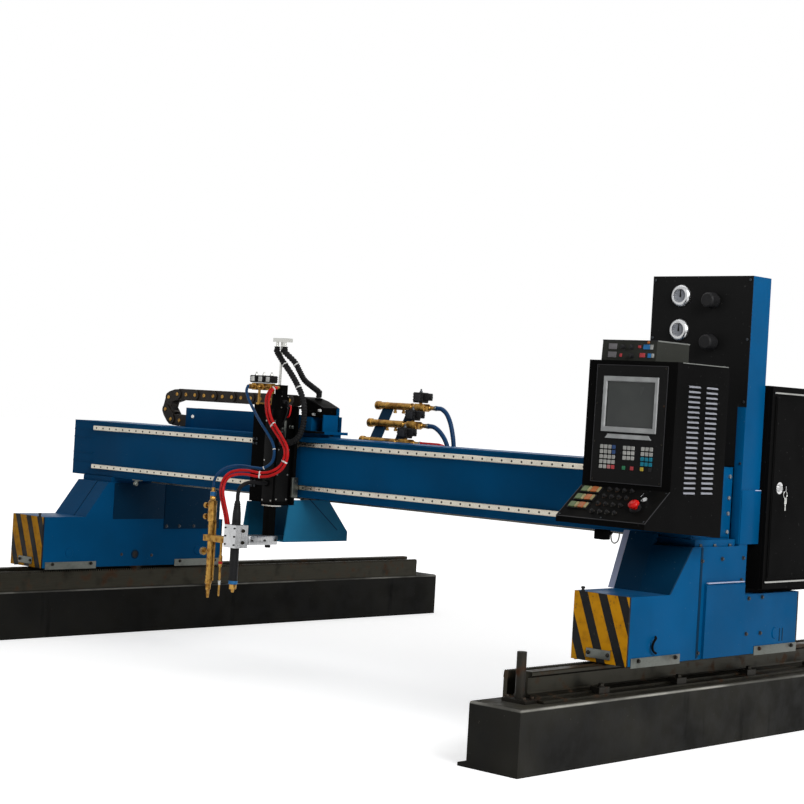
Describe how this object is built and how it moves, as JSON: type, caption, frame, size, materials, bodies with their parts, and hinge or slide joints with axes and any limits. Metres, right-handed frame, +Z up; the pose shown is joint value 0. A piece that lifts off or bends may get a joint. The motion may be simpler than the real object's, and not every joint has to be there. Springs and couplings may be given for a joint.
{
  "type": "gantry plasma cutting machine",
  "caption": "Gantry cutting machine on two rail beds: driven trucks, box beam, torch carriage with plasma and oxy-fuel torches, operator console, gas column and electrics cabinet.",
  "frame": {"origin": "on the floor, midway between the two rails and midway along the beds", "axes": "+X along the beam towards the console, +Y along the rails from the operator's end to the rear, +Z up"},
  "size_m": [4.51, 4, 2.073],
  "materials": {
    "dark_steel": "aged satin",
    "rail_steel": "dull",
    "blue_paint": "gloss",
    "hazard_paint": "satin",
    "zinc": "satin",
    "machined_steel": "machined",
    "motor_black": "matte",
    "black_paint": "fine texture",
    "chain_plastic": "matte",
    "gauge_metal": "polished",
    "needle_black": "matte",
    "screen_glass": "gloss",
    "key_film": "satin",
    "rocker_plastic": "gloss",
    "red_plastic": "gloss",
    "electrics": "zinc plated",
    "brass": "machined",
    "conduit_rubber": "matte",
    "hose_rubber": "satin",
    "blue_hose": "satin",
    "cast_aluminium": "satin",
    "torch_body": "satin"
  },
  "bodies": {
    "beds": {"bed_right": "dark_steel", "bed_left": "dark_steel", "rails": "rail_steel", "rail_clamps": "rail_steel", "bed_racks": "rail_steel", "end_stops": "rail_steel"},
    "gantry": {"truck_right": "blue_paint", "truck_left": "blue_paint", "bumpers": "hazard_paint", "scraper_plates": "zinc", "side_covers": "blue_paint", "drive_motors": "motor_black", "beam": "blue_paint", "guide_rails": "machined_steel", "beam_rack": "machined_steel", "chain_tray": "blue_paint", "drag_chain": "chain_plastic", "column": "blue_paint", "gas_panel": "black_paint", "gauges": "gauge_metal", "console_shell": "black_paint", "console_fascia": "black_paint", "screen": "screen_glass", "keypads": "key_film", "height_box": "black_paint", "cabinet_shell": "black_paint", "electrics_plate": "electrics", "gas_manifold": "brass", "manifold_hoses": "blue_hose"},
    "front_wheels": {"front_wheels": "machined_steel"},
    "rear_wheels": {"rear_wheels": "machined_steel"},
    "drive_pinions": {"drive_pinions": "machined_steel"},
    "needle_upper": {"needle_upper": "needle_black"},
    "needle_lower": {"needle_lower": "needle_black"},
    "regulator_knob_upper": {"regulator_knob_upper": "chain_plastic"},
    "regulator_knob_lower": {"regulator_knob_lower": "chain_plastic"},
    "rocker_front": {"rocker_front": "rocker_plastic"},
    "rocker_middle": {"rocker_middle": "rocker_plastic"},
    "rocker_rear": {"rocker_rear": "rocker_plastic"},
    "estop_button": {"estop_button": "red_plastic"},
    "key_switch": {"key_switch": "gauge_metal"},
    "cabinet_door": {"cabinet_door": "black_paint"},
    "door_lock": {"door_lock": "gauge_metal"},
    "carriage": {"carriage_plate": "black_paint", "guide_blocks": "machined_steel", "carriage_bracket": "blue_paint", "carriage_motor": "motor_black", "lifter_body": "black_paint", "solenoid_bank": "brass", "mast": "machined_steel", "junction_box": "black_paint", "conduits": "conduit_rubber", "torch_hoses": "hose_rubber"},
    "carriage_pinion": {"carriage_pinion": "machined_steel"},
    "torch_lift": {"lift_slide": "cast_aluminium", "plasma_torch": "torch_body", "oxy_torch": "brass"},
    "valve_knob_upper": {"valve_knob_upper": "brass"},
    "valve_knob_lower": {"valve_knob_lower": "brass"}
  },
  "joints": [
    {"name": "gantry_travel", "type": "slide", "parent": "beds", "child": "gantry", "axis": [0, 1, 0], "range_m": [-0.45, 1.8]},
    {"name": "front_wheel_spin", "type": "hinge", "parent": "gantry", "child": "front_wheels", "pos_m": [0, -1.153, 0.475], "axis": [1, 0, 0], "range_deg": [-1150, 290]},
    {"name": "rear_wheel_spin", "type": "hinge", "parent": "gantry", "child": "rear_wheels", "pos_m": [0, -0.2, 0.475], "axis": [1, 0, 0], "range_deg": [-1150, 290]},
    {"name": "drive_pinion_spin", "type": "hinge", "parent": "gantry", "child": "drive_pinions", "pos_m": [0, -0.6465, 0.43], "axis": [1, 0, 0], "range_deg": [-1725, 435]},
    {"name": "carriage_travel", "type": "slide", "parent": "gantry", "child": "carriage", "axis": [1, 0, 0], "range_m": [-0.85, 1.9], "deforming": ["drag_chain"]},
    {"name": "carriage_pinion_spin", "type": "hinge", "parent": "carriage", "child": "carriage_pinion", "pos_m": [-0.488, -0.636, 0.89], "axis": [0, 0, 1], "range_deg": [-1225, 2730]},
    {"name": "torch_lift", "type": "slide", "parent": "carriage", "child": "torch_lift", "axis": [0, 0, 1], "range_m": [-0.05, 0.15], "deforming": ["torch_hoses"]},
    {"name": "upper_valve_turn", "type": "hinge", "parent": "torch_lift", "child": "valve_knob_upper", "pos_m": [-0.6085, -1.205, 0.838], "axis": [-1, 0, 0], "range_deg": [0, 270]},
    {"name": "lower_valve_turn", "type": "hinge", "parent": "torch_lift", "child": "valve_knob_lower", "pos_m": [-0.6085, -1.205, 0.78], "axis": [-1, 0, 0], "range_deg": [0, 270]},
    {"name": "upper_needle_turn", "type": "hinge", "parent": "gantry", "child": "needle_upper", "pos_m": [1.7695, -0.548, 1.983], "axis": [0, 1, 0], "range_deg": [-135, 135]},
    {"name": "lower_needle_turn", "type": "hinge", "parent": "gantry", "child": "needle_lower", "pos_m": [1.7695, -0.548, 1.828], "axis": [0, 1, 0], "range_deg": [-135, 135]},
    {"name": "upper_regulator_turn", "type": "hinge", "parent": "gantry", "child": "regulator_knob_upper", "pos_m": [1.9445, -0.548, 1.961], "axis": [0, -1, 0], "range_deg": [0, 360]},
    {"name": "lower_regulator_turn", "type": "hinge", "parent": "gantry", "child": "regulator_knob_lower", "pos_m": [1.9445, -0.548, 1.773], "axis": [0, -1, 0], "range_deg": [0, 360]},
    {"name": "front_rocker_tilt", "type": "hinge", "parent": "gantry", "child": "rocker_front", "pos_m": [1.876, -1.36669, 1.02714], "axis": [0, 0.7891, 0.6143], "range_deg": [-6, 6], "stiffness_Nm_per_rad": 0.3},
    {"name": "middle_rocker_tilt", "type": "hinge", "parent": "gantry", "child": "rocker_middle", "pos_m": [1.876, -1.32487, 1.0597], "axis": [0, 0.7891, 0.6143], "range_deg": [-6, 6], "stiffness_Nm_per_rad": 0.3},
    {"name": "rear_rocker_tilt", "type": "hinge", "parent": "gantry", "child": "rocker_rear", "pos_m": [1.876, -1.28305, 1.09225], "axis": [0, 0.7891, 0.6143], "range_deg": [-6, 6], "stiffness_Nm_per_rad": 0.3},
    {"name": "estop_press", "type": "slide", "parent": "gantry", "child": "estop_button", "axis": [0, 0.6143, -0.7891], "range_m": [0, 0.006], "stiffness_N_per_m": 800, "springref_m": -0.004},
    {"name": "key_turn", "type": "hinge", "parent": "gantry", "child": "key_switch", "pos_m": [2.171, -1.31795, 1.07523], "axis": [0, -0.6143, 0.7891], "range_deg": [-90, 0]},
    {"name": "door_swing", "type": "hinge", "parent": "gantry", "child": "cabinet_door", "pos_m": [2.1715, 0.218, 1.137], "axis": [0, 0, 1], "range_deg": [0, 110]},
    {"name": "lock_turn", "type": "hinge", "parent": "cabinet_door", "child": "door_lock", "pos_m": [2.1605, -0.297, 1.137], "axis": [1, 0, 0], "range_deg": [0, 90]}
  ],
  "couplings": [
    {"joint": "front_wheel_spin", "follows": "gantry_travel", "rad_per_m": -11.111},
    {"joint": "rear_wheel_spin", "follows": "gantry_travel", "rad_per_m": -11.111},
    {"joint": "drive_pinion_spin", "follows": "gantry_travel", "rad_per_m": -16.667},
    {"joint": "carriage_pinion_spin", "follows": "carriage_travel", "rad_per_m": 25}
  ]
}
